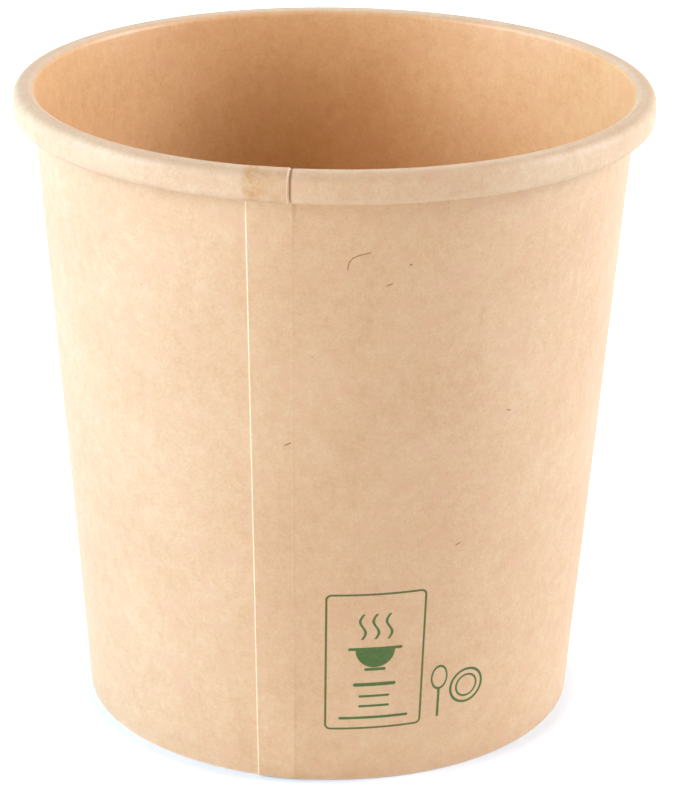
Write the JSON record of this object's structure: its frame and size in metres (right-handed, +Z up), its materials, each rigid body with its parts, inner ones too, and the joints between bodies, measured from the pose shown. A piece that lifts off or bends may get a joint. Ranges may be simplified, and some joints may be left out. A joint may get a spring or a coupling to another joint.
{
  "type": "kraft paper soup cup",
  "caption": "Tapered food cup of kraft board with a rolled rim, a lapped side seam and a recessed base sealed into a folded foot.",
  "frame": {"origin": "centre of the foot, on the surface that the cup stands on", "axes": "+Z up along the cup's axis; the side seam faces -Y, a little towards -X"},
  "size_m": [0.098, 0.098, 0.0993],
  "materials": {
    "kraft_wall": "coated kraft board, soft sheen",
    "kraft_base": "coated kraft board, soft sheen"
  },
  "bodies": {
    "root": {"sidewall": "kraft_wall", "base_disc": "kraft_base"}
  },
  "joints": []
}
